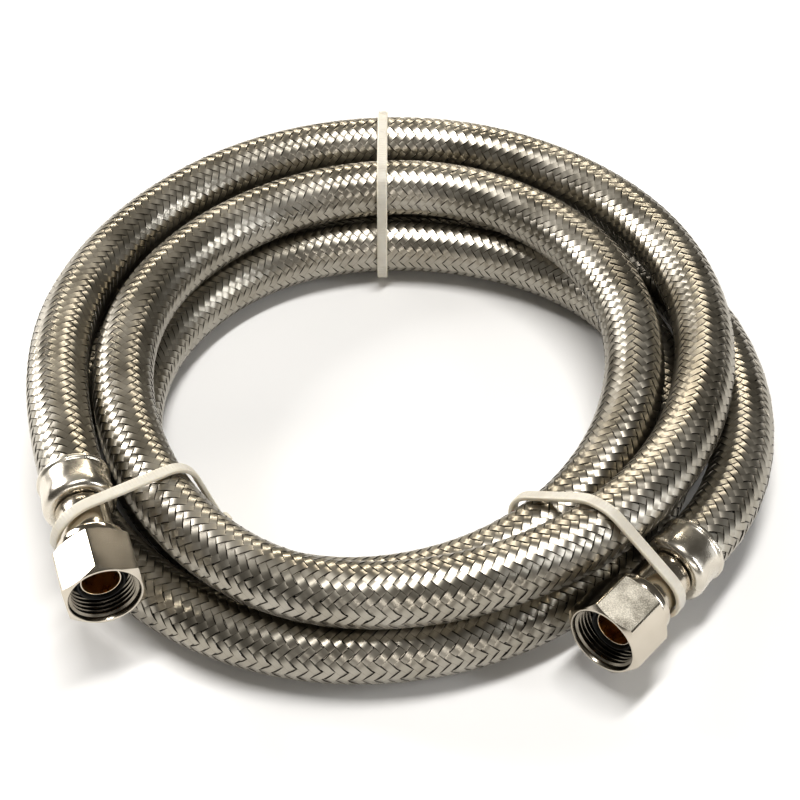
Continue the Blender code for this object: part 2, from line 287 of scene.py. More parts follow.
# %% Helper for finish groups
def new_finish_group(name, inputs, outputs):
    """A shader group, with its inputs and its output node."""
    tree = bpy.data.node_groups.new(name, "ShaderNodeTree")
    for label, (kind, default) in inputs.items():
        socket = tree.interface.new_socket(label, in_out="INPUT", socket_type="NodeSocket" + kind)
        if default is not None:
            socket.default_value = default
    for label, kind in outputs.items():
        tree.interface.new_socket(label, in_out="OUTPUT", socket_type="NodeSocket" + kind)
    return tree, tree.nodes.new("NodeGroupInput").outputs, tree.nodes.new("NodeGroupOutput")


print("finish groups can be made")

# %% Soft patches
# A slow noise shifts a colour between two tones, and a roughness between two values.
patches, given, result = new_finish_group(
    "soft patches",
    {
        "Place": ("Vector", None),
        "Patch Size": ("Float", 0.008),
        "First Colour": ("Color", (0.5, 0.5, 0.5, 1)),
        "Second Colour": ("Color", (0.6, 0.6, 0.6, 1)),
        "Low Roughness": ("Float", 0.2),
        "High Roughness": ("Float", 0.4),
    },
    {"Colour": "Color", "Roughness": "Float"},
)
per_metre = maths(patches, "DIVIDE", 1.0, given["Patch Size"])
cloud = add_node(
    patches, "ShaderNodeTexNoise", {"Vector": given["Place"], "Scale": per_metre, "Detail": 4.0}
)
mask = add_node(
    patches, "ShaderNodeMapRange", {0: cloud.outputs["Fac"], "From Min": 0.35, "From Max": 0.65}
).outputs[0]
tone = add_node(
    patches,
    "ShaderNodeMix",
    {0: mask, 6: given["First Colour"], 7: given["Second Colour"]},
    data_type="RGBA",
)
rough = add_node(
    patches,
    "ShaderNodeMapRange",
    {0: mask, "To Min": given["Low Roughness"], "To Max": given["High Roughness"]},
)
patches.links.new(tone.outputs[2], result.inputs["Colour"])
patches.links.new(rough.outputs[0], result.inputs["Roughness"])
print("soft patches:", len(patches.nodes), "nodes")

# %% Fine grain
# A small noise tilts the surface, for blasted metal, moulded plastic and rubber.
grain, given, result = new_finish_group(
    "fine grain",
    {
        "Place": ("Vector", None),
        "Grain Size": ("Float", 0.0003),
        "Strength": ("Float", 0.2),
        "Depth": ("Float", 0.00003),
    },
    {"Normal": "Vector", "Grain": "Float"},
)
per_metre = maths(grain, "DIVIDE", 1.0, given["Grain Size"])
speckle = add_node(
    grain, "ShaderNodeTexNoise", {"Vector": given["Place"], "Scale": per_metre, "Detail": 2.0}
)
bump = add_node(
    grain,
    "ShaderNodeBump",
    {"Strength": given["Strength"], "Distance": given["Depth"], "Height": speckle.outputs["Fac"]},
)
grain.links.new(bump.outputs[0], result.inputs["Normal"])
grain.links.new(speckle.outputs["Fac"], result.inputs["Grain"])
print("fine grain:", len(grain.nodes), "nodes")


# %% Material helpers
def new_material(name, **constants):
    """A material with a Principled shader. constants are set straight on the shader's sockets."""
    made = bpy.data.materials.new(name)
    made.use_nodes = True
    shader = made.node_tree.nodes["Principled BSDF"]
    for label, value in constants.items():
        shader.inputs[label.replace("_", " ")].default_value = value
    return made, made.node_tree, shader


def add_patches(tree, shader, first, second, low, high, size):
    """Soft patches between two colours and two roughnesses. Gives the group and its place."""
    place = add_node(tree, "ShaderNodeTexCoord").outputs["Object"]
    group = add_node(tree, "ShaderNodeGroup", node_tree=patches)
    group.inputs["Patch Size"].default_value = size
    group.inputs["First Colour"].default_value = (*first, 1)
    group.inputs["Second Colour"].default_value = (*second, 1)
    group.inputs["Low Roughness"].default_value = low
    group.inputs["High Roughness"].default_value = high
    tree.links.new(place, group.inputs["Place"])
    tree.links.new(group.outputs["Colour"], shader.inputs["Base Color"])
    tree.links.new(group.outputs["Roughness"], shader.inputs["Roughness"])
    return group, place


def add_grain(tree, shader, place, size, strength, depth):
    """A fine grain as the shader's normal. size and depth are in metres."""
    group = add_node(tree, "ShaderNodeGroup", node_tree=grain)
    group.inputs["Grain Size"].default_value = size
    group.inputs["Strength"].default_value = strength
    group.inputs["Depth"].default_value = depth
    tree.links.new(place, group.inputs["Place"])
    tree.links.new(group.outputs["Normal"], shader.inputs["Normal"])
    return group


print("material helpers are ready")

# %% [markdown]
# ## Plain finishes: rubber, nickel, steel, brass and nylon
#
# Each one is a Principled shader with soft patches and a grain of its own. Metals have their
# colour in Base Color and a Metallic of 1, so their look comes from what they reflect.

# %% Rubber
black_rubber, tree, shader = new_material("black rubber", Metallic=0.0, Specular_IOR_Level=0.4)
_, place = add_patches(tree, shader, (0.012, 0.012, 0.013), (0.03, 0.029, 0.028), 0.45, 0.7, 0.006)
add_grain(tree, shader, place, 0.0004, 0.3, 0.00004)
rubber_tube.data.materials.append(black_rubber)
print(black_rubber.name, "is on the inner tube")

# %% Polished nickel
polished_nickel, tree, shader = new_material("polished nickel", Metallic=1.0)
_, place = add_patches(tree, shader, (0.56, 0.51, 0.43), (0.62, 0.57, 0.49), 0.14, 0.19, 0.009)
add_grain(tree, shader, place, 0.0012, 0.05, 0.00002)
print(polished_nickel.name, "is ready for the stems and nuts")

# %% [markdown]
# Every other flat of a nut keeps the coarse grain of blasted bar, under the same plating. A bump
# alone would look like frost, so the grains also differ in brightness, as tiny facets do.

# %% Blasted nickel
SPARKLE = (1.0, 0.95, 0.84, 1)
blasted_nickel, tree, shader = new_material("blasted nickel", Metallic=1.0)
tones, place = add_patches(
    tree, shader, (0.60, 0.55, 0.46), (0.70, 0.66, 0.57), 0.28, 0.38, 0.004
)
facets = add_grain(tree, shader, place, 0.00028, 0.8, 0.00003)
bright_facets = add_node(
    tree, "ShaderNodeMapRange", {0: facets.outputs["Grain"], "From Min": 0.42, "From Max": 0.62}
)
sparkling = add_node(
    tree,
    "ShaderNodeMix",
    {0: bright_facets.outputs[0], 6: tones.outputs["Colour"], 7: SPARKLE},
    data_type="RGBA",
)
tree.links.new(sparkling.outputs[2], shader.inputs["Base Color"])
print(blasted_nickel.name, "is ready for every other flat")

# %% Nickel in painted shade
# In the nut's mouth and on its thread the nickel is painted darker, as painted shade of the deep bore.
mouth_shade_nickel, tree, shader = new_material("nickel in painted shade", Metallic=1.0)
_, place = add_patches(tree, shader, (0.20, 0.18, 0.15), (0.34, 0.31, 0.26), 0.16, 0.26, 0.003)
print(mouth_shade_nickel.name, "is ready for the threads")

# %% Steel of the ferrules and of the retaining rings
satin_steel, tree, shader = new_material("satin steel", Metallic=1.0)
_, place = add_patches(tree, shader, (0.60, 0.56, 0.49), (0.70, 0.66, 0.58), 0.22, 0.32, 0.005)
add_grain(tree, shader, place, 0.0014, 0.22, 0.00004)

spring_steel, tree, shader = new_material("spring steel", Metallic=1.0)
_, place = add_patches(tree, shader, (0.36, 0.36, 0.37), (0.48, 0.48, 0.48), 0.25, 0.4, 0.003)
print(satin_steel.name, "and", spring_steel.name, "are ready")

# %% Bare brass in the bore
bare_brass, tree, shader = new_material("bare brass", Metallic=1.0)
_, place = add_patches(tree, shader, (0.62, 0.38, 0.13), (0.80, 0.54, 0.22), 0.22, 0.38, 0.003)
add_grain(tree, shader, place, 0.0006, 0.25, 0.00003)
print(bare_brass.name, "is ready for the bores")

# %% Natural nylon
natural_nylon, tree, shader = new_material(
    "natural nylon", Metallic=0.0, Subsurface_Weight=0.35, Subsurface_Scale=0.0012
)
shader.inputs["Subsurface Radius"].default_value = (1.0, 0.85, 0.6)
_, place = add_patches(tree, shader, (0.66, 0.61, 0.51), (0.73, 0.69, 0.59), 0.34, 0.5, 0.005)
add_grain(tree, shader, place, 0.0005, 0.15, 0.00003)
print("plain finishes:", len(bpy.data.materials), "materials in the file")

# %% [markdown]
# ## The woven sleeve
#
# The sleeve is a regular braid: 16 flat ribbons wind clockwise and 16 anticlockwise, and each
# goes over two of the others and then under two. Because every ribbon changes over at the same
# places round the hose, the weave shows as rows of V shapes along it. A picture of a weave on a
# plain tube would look flat, so each ribbon is made: a Geometry Nodes tree copies the route once
# for each ribbon, winds the copy round it, lifts it where it goes over and lowers it where it
# goes under, and sweeps a flat section along it. One tree makes both directions, because
# the direction is an input.

# %% Finish of the ribbons
RIBBON_WIDTH, RIBBON_THICK = 1.76 * MM, 0.20 * MM
WIRES_PER_RIBBON = 6
# Colour of the painted shade, with a little grime, at the ribbons' edges.
EDGE_SHADE_AND_GRIME = (0.03, 0.027, 0.024, 1)
wire_ribbon, tree, shader = new_material("wire ribbon", Metallic=1.0)
tones, _ = add_patches(
    tree, shader, (0.34, 0.315, 0.265), (0.42, 0.395, 0.345), 0.29, 0.37, 0.012
)
ribbon_uv = add_node(tree, "ShaderNodeUVMap", uv_map="ribbon").outputs[0]
across = add_node(tree, "ShaderNodeSeparateXYZ", {0: ribbon_uv}).outputs[0]
# The ribbon's edges are painted darker: painted shade where they lie in each other's shadow, and a
# little grime.
off_middle = maths(tree, "ABSOLUTE", maths(tree, "SUBTRACT", across, 0.5))
edge = add_node(
    tree, "ShaderNodeMapRange", {0: off_middle, "From Min": 0.40, "From Max": 0.49}
).outputs[0]
darker = add_node(
    tree,
    "ShaderNodeMix",
    {0: maths(tree, "MULTIPLY", edge, 0.85), 6: tones.outputs["Colour"], 7: EDGE_SHADE_AND_GRIME},
    data_type="RGBA",
)
tree.links.new(darker.outputs[2], shader.inputs["Base Color"])
# Each ribbon is a few round wires side by side, so its height rises and falls across it.
wires = maths(tree, "SINE", maths(tree, "MULTIPLY", across, 2 * math.pi * WIRES_PER_RIBBON))
bump = add_node(
    tree, "ShaderNodeBump", {"Strength": 0.08, "Distance": 0.00003, "Height": wires}
)
tree.links.new(bump.outputs[0], shader.inputs["Normal"])
print("wire ribbon: lines for", WIRES_PER_RIBBON, "wires across", RIBBON_WIDTH / MM, "mm")

# %% [markdown]
# A ribbon winds once round the hose in every 39 mm, and meets the 16 that wind the other way
# twice in each turn. It goes over two and under two, so it rises and falls eight times in a
# turn of its own. Eight points for each wave are just enough to draw it.

# %% Sizes of the weave
RIBBONS_EACH_WAY = 16
WAVES_ROUND = RIBBONS_EACH_WAY // 2
WEAVE_MIDDLE, WEAVE_LIFT = 6.62 * MM, 0.20 * MM
# The wave is this much taller than the lift, and what is past the lift is cut flat.
WAVE_OVERSHOOT = 1.18
WAVE_PHASE = -math.pi / 4
TOP_WIDTH_SHARE = 0.9
LAY_PITCH = 39 * MM
LAY_TURNS = round(HOSE_LENGTH / LAY_PITCH * 2) / 2
POINTS_PER_WAVE = 8
RIBBON_POINTS = int(LAY_TURNS * WAVES_ROUND * POINTS_PER_WAVE) + 1
print(f"{LAY_TURNS} turns of lay, {RIBBON_POINTS} points on each ribbon")

# %% Tree that weaves the ribbons: copies of the route
weave, given = new_shape_tree(
    "wind and weave ribbons",
    {
        "Ribbons": ("Int", 8),
        "First Ribbon": ("Int", 0),
        "Direction": ("Float", 1.0),
        "Lay Turns": ("Float", 40.0),
        "Ribbon Points": ("Int", 100),
        "Weave Middle": ("Float", WEAVE_MIDDLE),
        "Weave Lift": ("Float", WEAVE_LIFT),
        "Ribbon Width": ("Float", RIBBON_WIDTH),
        "Ribbon Thickness": ("Float", RIBBON_THICK),
        "Material": ("Material", None),
    },
)
knob = given.outputs
even = add_node(
    weave, "GeometryNodeResampleCurve", {"Curve": knob["Geometry"], "Count": knob["Ribbon Points"]}
)
copies = add_node(
    weave,
    "GeometryNodeDuplicateElements",
    {"Geometry": even.outputs[0], "Amount": knob["Ribbons"]},
    domain="SPLINE",
)
print("the weave tree has", len(weave.interface.items_tree) - 2, "inputs for its sizes and material")

# %% [markdown]
# Each point of a copy needs two numbers: how far round the hose it is, which is the ribbon's
# start plus its winding so far, and how far out it is, which the wave gives. The direction
# outwards is worked out from the route's own direction, so the weave bends with the hose.

# %% Wind each copy round the hose, over two and under two
point = add_node(weave, "GeometryNodeSplineParameter").outputs["Index"]
done = maths(weave, "DIVIDE", point, maths(weave, "SUBTRACT", knob["Ribbon Points"], 1.0))
wound = maths(weave, "MULTIPLY", maths(weave, "MULTIPLY", done, knob["Lay Turns"]), knob["Direction"])
number = maths(weave, "ADD", copies.outputs["Duplicate Index"], knob["First Ribbon"])
turns = maths(weave, "ADD", wound, maths(weave, "DIVIDE", number, float(RIBBONS_EACH_WAY)))
angle = maths(weave, "MULTIPLY", turns, 2 * math.pi)
phase = maths(weave, "MULTIPLY_ADD", angle, float(WAVES_ROUND), WAVE_PHASE)
swing = maths(weave, "MULTIPLY", maths(weave, "COSINE", phase), WAVE_OVERSHOOT)
steep = maths(weave, "MULTIPLY", swing, knob["Direction"])
flat_topped = add_node(weave, "ShaderNodeClamp", {0: steep, "Min": -1.0, "Max": 1.0}).outputs[0]
radius = maths(weave, "MULTIPLY_ADD", flat_topped, knob["Weave Lift"], knob["Weave Middle"])
along = add_node(weave, "GeometryNodeInputTangent").outputs[0]
sideways = vectors(weave, "NORMALIZE", vectors(weave, "CROSS_PRODUCT", along, (0.0, 0.0, 1.0)))
upwards = vectors(weave, "CROSS_PRODUCT", sideways, along)
outwards = vectors(
    weave,
    "ADD",
    scaled(weave, sideways, maths(weave, "COSINE", angle)),
    scaled(weave, upwards, maths(weave, "SINE", angle)),
)
print("waves round the hose:", WAVES_ROUND)

# %% Move each copy to its place
# The direction outwards is kept before the points move, because moving them changes it.
kept = add_node(weave, "GeometryNodeCaptureAttribute", domain="POINT")
kept.capture_items.new("VECTOR", "Outwards")
weave.links.new(copies.outputs["Geometry"], kept.inputs["Geometry"])
weave.links.new(outwards, kept.inputs["Outwards"])
moved = add_node(
    weave,
    "GeometryNodeSetPosition",
    {0: kept.outputs["Geometry"], "Offset": scaled(weave, kept.outputs["Outwards"], radius)},
)
facing = add_node(
    weave,
    "GeometryNodeSetCurveNormal",
    {0: moved.outputs[0], "Normal": kept.outputs["Outwards"]},
    mode="FREE",
)
travelled = add_node(weave, "GeometryNodeCaptureAttribute", domain="POINT")
travelled.capture_items.new("FLOAT", "Along")
weave.links.new(facing.outputs[0], travelled.inputs["Geometry"])
weave.links.new(
    add_node(weave, "GeometryNodeSplineParameter").outputs["Length"], travelled.inputs["Along"]
)
print("ribbons start at", RIBBONS_EACH_WAY, "even places round the hose, each way")

# %% [markdown]
# The ribbon's section is a flat bar with leaning sides, so that its edges turn away from the
# light. X is outwards and Y is across the ribbon. Each point's place across is kept as well: with
# the distance along, it makes the map that the finish reads.

# %% Section of a ribbon
half_width = maths(weave, "MULTIPLY", knob["Ribbon Width"], 0.5)
half_top = maths(weave, "MULTIPLY", knob["Ribbon Width"], TOP_WIDTH_SHARE / 2)
half_thick = maths(weave, "MULTIPLY", knob["Ribbon Thickness"], 0.5)


def section_point(out, sideways):
    return add_node(weave, "ShaderNodeCombineXYZ", {0: out, 1: sideways}).outputs[0]


below, above = maths(weave, "MULTIPLY", half_thick, -1.0), half_thick
section = add_node(
    weave,
    "GeometryNodeCurvePrimitiveQuadrilateral",
    {
        "Point 1": section_point(below, maths(weave, "MULTIPLY", half_width, -1.0)),
        "Point 2": section_point(above, maths(weave, "MULTIPLY", half_top, -1.0)),
        "Point 3": section_point(above, half_top),
        "Point 4": section_point(below, half_width),
    },
    mode="POINTS",
)
crossways = add_node(weave, "GeometryNodeCaptureAttribute", domain="POINT")
crossways.capture_items.new("FLOAT", "Across")
weave.links.new(section.outputs[0], crossways.inputs["Geometry"])
spot = add_node(weave, "GeometryNodeInputPosition").outputs[0]
sideways_place = add_node(weave, "ShaderNodeSeparateXYZ", {0: spot}).outputs[1]
from_middle = maths(weave, "DIVIDE", sideways_place, knob["Ribbon Width"])
weave.links.new(maths(weave, "ADD", from_middle, 0.5), crossways.inputs["Across"])
print("a ribbon is", RIBBON_WIDTH / MM, "mm wide and", RIBBON_THICK / MM, "mm thick")

# %% Sweep the section and keep its map
swept = add_node(
    weave,
    "GeometryNodeCurveToMesh",
    {
        "Curve": travelled.outputs["Geometry"],
        "Profile Curve": crossways.outputs["Geometry"],
        "Fill Caps": True,
    },
)
ribbon_place = add_node(
    weave, "ShaderNodeCombineXYZ", {0: crossways.outputs["Across"], 1: travelled.outputs["Along"]}
)
mapped = add_node(
    weave,
    "GeometryNodeStoreNamedAttribute",
    {"Geometry": swept.outputs[0], "Name": "ribbon", "Value": ribbon_place.outputs[0]},
    data_type="FLOAT2",
    domain="CORNER",
)
end_shape_tree(weave, given, mapped.outputs[0])
print("the weave tree has", len(weave.nodes), "nodes")

# %% [markdown]
# The 32 ribbons could be one object, but it would be very heavy. They are made in four lots of
# eight, two for each direction, each lot a piece of its own.

# %% Weave the ribbons in four lots
ribbon_lots = []
for name, first, direction in (
    ("ribbons_clockwise_1", 0, 1.0),
    ("ribbons_clockwise_2", 8, 1.0),
    ("ribbons_anticlockwise_1", 0, -1.0),
    ("ribbons_anticlockwise_2", 8, -1.0),
):
    lot = grow(
        line_object(name + "_route", route),
        weave,
        name,
        First_Ribbon=first,
        Direction=direction,
        Lay_Turns=LAY_TURNS,
        Ribbon_Points=RIBBON_POINTS,
        Material=wire_ribbon,
    )
    lot.data.set_sharp_from_angle(angle=math.radians(45))
    ribbon_lots.append(lot)
print("lots of ribbons:", len(ribbon_lots))

# %% [markdown]
# ## Turned parts
#
# Ferrules, stems and washers are turned on a lathe or pressed from round stock, so each is a
# profile that goes round an axis: the Screw modifier does exactly that. Real corners are never
# quite sharp, and it is their small rounds that catch the light, so each corner of the profile
# is first replaced by a short arc.


# %% Place of a fitting
def fitting_place(side):
    """Matrix from a fitting's own frame, with Z along its axis from its rear end."""
    rear, out = fitting_axis(side)
    across = out.cross(Vector((0, 0, 1))).normalized()
    turn = Matrix((across, out.cross(across), out)).transposed().to_4x4()
    return Matrix.Translation(rear) @ turn


print("fittings:", ", ".join(FITTINGS))


# %% Profile with rounded corners
def rounded(profile, radius, steps=3):
    """Replaces each corner of a closed profile by a short arc.

    A corner is (radius, height) in mm, and may have the size of its arc as a third number.
    """
    points = [Vector(p[:2]) for p in profile]
    outline = []
    for i, corner in enumerate(points):
        size = profile[i][2] if len(profile[i]) > 2 else radius
        to_last = points[i - 1] - corner
        to_next = points[(i + 1) % len(points)] - corner
        cut = min(size, 0.45 * to_last.length, 0.45 * to_next.length)
        start, end = corner + to_last.normalized() * cut, corner + to_next.normalized() * cut
        for t in np.linspace(0, 1, steps + 1):
            outline.append(start * (1 - t) ** 2 + corner * 2 * t * (1 - t) + end * t * t)
    return outline


print("an outline of four corners has", len(rounded([(0, 0), (1, 0), (1, 1), (0, 1)], 0.1)), "points")


# %% Plain meshes that face outwards
def plain_mesh(obj, name):
    """Applies an object's modifiers and leaves a plain mesh object at the origin."""
    bpy.context.view_layer.update()
    mesh = bpy.data.meshes.new_from_object(obj.evaluated_get(bpy.context.evaluated_depsgraph_get()))
    bpy.data.objects.remove(obj)
    mesh.name = name
    made = bpy.data.objects.new(name, mesh)
    bpy.context.scene.collection.objects.link(made)
    return made


def face_outwards(mesh, merge=0.002 * MM):
    """Merges doubled points, then turns every face outwards."""
    form = bmesh.new()
    form.from_mesh(mesh)
    bmesh.ops.remove_doubles(form, verts=form.verts, dist=merge)
    bmesh.ops.recalc_face_normals(form, faces=form.faces)
    if form.calc_volume(signed=True) < 0:
        bmesh.ops.reverse_faces(form, faces=form.faces)
    form.to_mesh(mesh)
    form.free()


print("meshes can be made plain")

# %% Turned solids
ROUND_STEPS, SMALL_ROUND_STEPS = 96, 64


def turned(name, profile, corner, material, steps=ROUND_STEPS):
    """A solid of revolution about Z from a closed profile of (radius, height) in millimetres."""
    mesh = bpy.data.meshes.new(name)
    outline = rounded(profile, corner)
    edges = [(i, (i + 1) % len(outline)) for i in range(len(outline))]
    mesh.from_pydata([(p[0] * MM, 0, p[1] * MM) for p in outline], edges, [])
    blank = bpy.data.objects.new(name, mesh)
    bpy.context.scene.collection.objects.link(blank)
    screw = blank.modifiers.new("turn", "SCREW")
    screw.steps = screw.render_steps = steps
    screw.use_merge_vertices = True
    screw.merge_threshold = 0.001 * MM
    made = plain_mesh(blank, name)
    face_outwards(made.data)
    made.data.materials.clear()
    made.data.materials.append(material)
    return made


def finish_turned(obj, side, smooth_angle=40):
    """Moves a part from its fitting's own frame to its place, and shades its rounds smooth."""
    obj.data.transform(fitting_place(side))
    obj.data.shade_smooth()
    obj.data.set_sharp_from_angle(angle=math.radians(smooth_angle))
    print(f"{obj.name}: {sum(len(p.vertices) - 2 for p in obj.data.polygons)} triangles")
    return obj


print("steps round a turned part:", ROUND_STEPS, "or", SMALL_ROUND_STEPS)

# %% [markdown]
# ## Ferrules
#
# The ferrule is a thin steel cup pressed over the end of the hose. Its rear lip is rolled, its
# barrel is squeezed in by the crimping jaws, and it bulges again at the front, where it turns in
# and grips the stem. The jaws leave the barrel very slightly out of round.

# %% Ferrules
FERRULE = [
    (5.95, 10.7, 0.15), (7.0, 10.6, 0.8), (7.8, 9.7, 1.2), (7.85, 8.0, 1.6), (7.55, 5.4, 1.6),
    (7.5, 3.1, 0.5), (7.55, 2.65, 0.2), (7.85, 2.45, 0.25), (7.85, 1.65, 0.25), (7.45, 1.5, 0.15),
    (7.25, 2.0, 0.3), (7.2, 5.0, 1.0), (7.3, 9.4, 0.6), (4.7, 9.7, 0.1), (4.7, 10.7, 0.1),
]
CRIMP_JAWS, CRIMP_DEPTH = 8, 0.07 * MM
CRIMP_MIDDLE, CRIMP_REACH = 5.2 * MM, 3.2 * MM
ferrules = {}
for side in FITTINGS:
    ferrule = turned("ferrule_shell_" + side, FERRULE, 0.2, satin_steel)
    for vertex in ferrule.data.vertices:
        x, y, z = vertex.co
        squeeze = max(0, 1 - ((z - CRIMP_MIDDLE) / CRIMP_REACH) ** 2)
        wave = abs(math.sin(CRIMP_JAWS / 2 * math.atan2(y, x))) ** 0.5
        factor = 1 - CRIMP_DEPTH * squeeze * (1 - wave) / math.hypot(x, y)
        vertex.co.x, vertex.co.y = x * factor, y * factor
    ferrules[side] = finish_turned(ferrule, side)

# %% [markdown]
# ## Stems
#
# The stem is turned from brass and plated outside, while its bore stays bare. Its rear end has
# barbs in the hose. Its neck shows between the ferrule and the nut, and its tip is the bright
# ring of tube in the nut's mouth. The bore gets its own material by where each face is.

# %% Stems
STEM = [
    (4.3, 30.8, 0.15), (4.3, 27.8, 0.1), (6.3, 27.8, 0.15), (6.3, 26.6, 0.15), (5.7, 26.6, 0.1),
    (5.7, 11.1, 0.25), (4.4, 11.1, 0.05), (4.4, 9.6, 0.05), (3.45, 9.3, 0.05), (3.45, 7.6, 0.1),
    (3.2, 7.4, 0.05), (3.45, 5.2, 0.1), (3.2, 5.0, 0.05), (3.45, 2.8, 0.1), (3.2, 2.6, 0.05),
    (3.2, 0.8, 0.1), (3.0, 0.8, 0.1), (3.0, 14.5, 0.3), (3.85, 16.0, 0.3), (3.85, 30.8, 0.15),
]
WIDEST_BORE = 3.9 * MM
stems = {}
for side in FITTINGS:
    stem = turned("stem_turned_" + side, STEM, 0.1, polished_nickel, SMALL_ROUND_STEPS)
    stem.data.materials.append(bare_brass)
    for face in stem.data.polygons:
        middle = face.center
        inwards = face.normal.x * middle.x + face.normal.y * middle.y < 0
        if inwards and math.hypot(middle.x, middle.y) < WIDEST_BORE:
            face.material_index = 1
    stems[side] = finish_turned(stem, side)

# %% [markdown]
# ## Cone washers
#
# A soft black cone in front of the stem's flange makes the seal when the nut draws the fitting
# together. It is the darkness round the bright tip. It is turned in the same way as the metal
# parts, because it is round too.

# %% Cone washers
WASHER = [(4.95, 31.5, 0.3), (6.2, 29.1, 0.4), (6.2, 28.1, 0.1), (4.6, 28.1, 0.1), (4.6, 31.5, 0.2)]
washers = {}
for side in FITTINGS:
    washer = turned("cone_seal_" + side, WASHER, 0.2, black_rubber, SMALL_ROUND_STEPS)
    washers[side] = finish_turned(washer, side)

# %% [markdown]
# ## Swivel nuts
#
# A nut starts as hexagon bar: it is turned at both ends to a cone, so that the flats end in
# arcs, and has a round collar behind. So the shape is what a turned blank and a hexagon bar have
# in common, a Boolean intersection. The bar's long edges are bevelled first.

# %% Hexagon bar
NUT_ACROSS_FLATS = 15.9 * MM
BAR_EDGE = 0.3 * MM


def hexagon_bar(side):
    """A long bar along Z, at its nut's turn, to cut the blank with."""
    form = bmesh.new()
    corner = NUT_ACROSS_FLATS / 2 / math.cos(math.pi / 6)
    bmesh.ops.create_cone(
        form, cap_ends=True, segments=6, radius1=corner, radius2=corner, depth=4 * FITTING_LENGTH
    )
    upright = [e for e in form.edges if abs((e.verts[0].co - e.verts[1].co).z) > FITTING_LENGTH]
    bmesh.ops.bevel(
        form, geom=upright, offset=BAR_EDGE, segments=3, profile=0.5, affect="EDGES"
    )
    # A six-sided cone has a corner on Y, so this puts a corner of the nut at its turn from X.
    turn = math.radians(FITTINGS[side][3] + 30)
    form.transform(Matrix.Rotation(turn, 4, "Z"))
    mesh = bpy.data.meshes.new("hexagon bar")
    form.to_mesh(mesh)
    form.free()
    bar = bpy.data.objects.new("hexagon bar", mesh)
    bpy.context.scene.collection.objects.link(bar)
    return bar


print("the bar is", NUT_ACROSS_FLATS / MM, "mm across its flats")

# %% [markdown]
# Every other flat keeps the blasted grain of the bar, and the rest are bright and smooth. The
# mouth is painted darker, as painted shade. Which material a face gets follows from where it is
# and which way it faces.

# %% Finish of each face of a nut
HEX_REAR = 23.4 * MM
FIRST_GRAINED = {"a": 1, "b": 0}
FINISHES = {"smooth": 0, "grained": 1, "shaded_mouth": 2}


def finish_faces(mesh, side):
    """Gives the flats and the mouth of a nut their materials, in the fitting's own frame."""
    mesh.materials.clear()
    for material in (polished_nickel, blasted_nickel, mouth_shade_nickel):
        mesh.materials.append(material)
    for face in mesh.polygons:
        level = math.hypot(face.normal.x, face.normal.y)
        reach = face.center.x * face.normal.x + face.center.y * face.normal.y
        heading = math.degrees(math.atan2(face.normal.y, face.normal.x)) - FITTINGS[side][3] - 30
        flat = round(heading / 60)
        if level > 0.999 and abs(heading - 60 * flat) < 1 and reach > 0.49 * NUT_ACROSS_FLATS:
            grained = (flat + FIRST_GRAINED[side]) % 2
            face.material_index = FINISHES["grained" if grained else "smooth"]
        elif reach < 0 and face.center.z > HEX_REAR:
            # Inward faces of the mouth get the nickel in painted shade.
            face.material_index = FINISHES["shaded_mouth"]


print("finishes of a nut:", ", ".join(FINISHES))

# %% Swivel nuts
BLANK = [
    (7.8, 35.0, 0.12), (9.4, 34.05, 0.05), (9.4, 24.4, 0.05), (7.9, 23.5, 0.1), (7.3, 23.3, 0.15),
    (7.45, 22.7, 0.3), (7.4, 21.2, 0.8), (6.7, 20.55, 0.5), (6.25, 20.5, 0.15), (6.1, 21.0, 0.1),
    (6.1, 23.5, 0.1), (7.2, 23.5, 0.1), (7.2, 34.3, 0.1), (7.4, 35.0, 0.15),
]
nuts = {}
for side in FITTINGS:
    blank = turned("nut_blank_" + side, BLANK, 0.1, polished_nickel)
    bar = hexagon_bar(side)
    flats = blank.modifiers.new("flats", "BOOLEAN")
    flats.operation, flats.object = "INTERSECT", bar
    nut = plain_mesh(blank, "swivel_nut_" + side)
    bpy.data.objects.remove(bar)
    face_outwards(nut.data)
    finish_faces(nut.data, side)
    nuts[side] = finish_turned(nut, side, 20)

# %% [markdown]
# ## Threads in the nuts
#
# The nut's thread is 9/16 in - 24: one turn in every 1.06 mm. A thread is a ridge that follows a
# helix. A Screw modifier could make one, but a tree with the pitch, the turns and both radii as
# inputs is easier to change, and makes both threads: it sweeps a small ridge along a spiral.

# %% Thread tree
THREAD_PITCH = 25.4 / 24 * MM
THREAD_ROOT, THREAD_CREST = 7.25 * MM, 6.66 * MM
thread_tree, given = new_shape_tree(
    "thread ridge",
    {
        "Pitch": ("Float", THREAD_PITCH),
        "Thread Turns": ("Float", 8.0),
        "Root Radius": ("Float", THREAD_ROOT),
        "Crest Radius": ("Float", THREAD_CREST),
        "Material": ("Material", None),
    },
)
knob = given.outputs
print("thread pitch:", round(THREAD_PITCH / MM, 3), "mm")

# %% Helix that faces outwards
helix = add_node(
    thread_tree,
    "GeometryNodeCurveSpiral",
    {
        "Resolution": 64,
        "Rotations": knob["Thread Turns"],
        "Start Radius": knob["Root Radius"],
        "End Radius": knob["Root Radius"],
        "Height": maths(thread_tree, "MULTIPLY", knob["Pitch"], knob["Thread Turns"]),
    },
)
here = add_node(thread_tree, "GeometryNodeInputPosition").outputs[0]
level = vectors(thread_tree, "MULTIPLY", here, (1.0, 1.0, 0.0))
outward = vectors(thread_tree, "NORMALIZE", level)
facing = add_node(
    thread_tree,
    "GeometryNodeSetCurveNormal",
    {0: helix.outputs[0], "Normal": outward},
    mode="FREE",
)
depth = maths(thread_tree, "SUBTRACT", knob["Crest Radius"], knob["Root Radius"])
print("the helix is set")


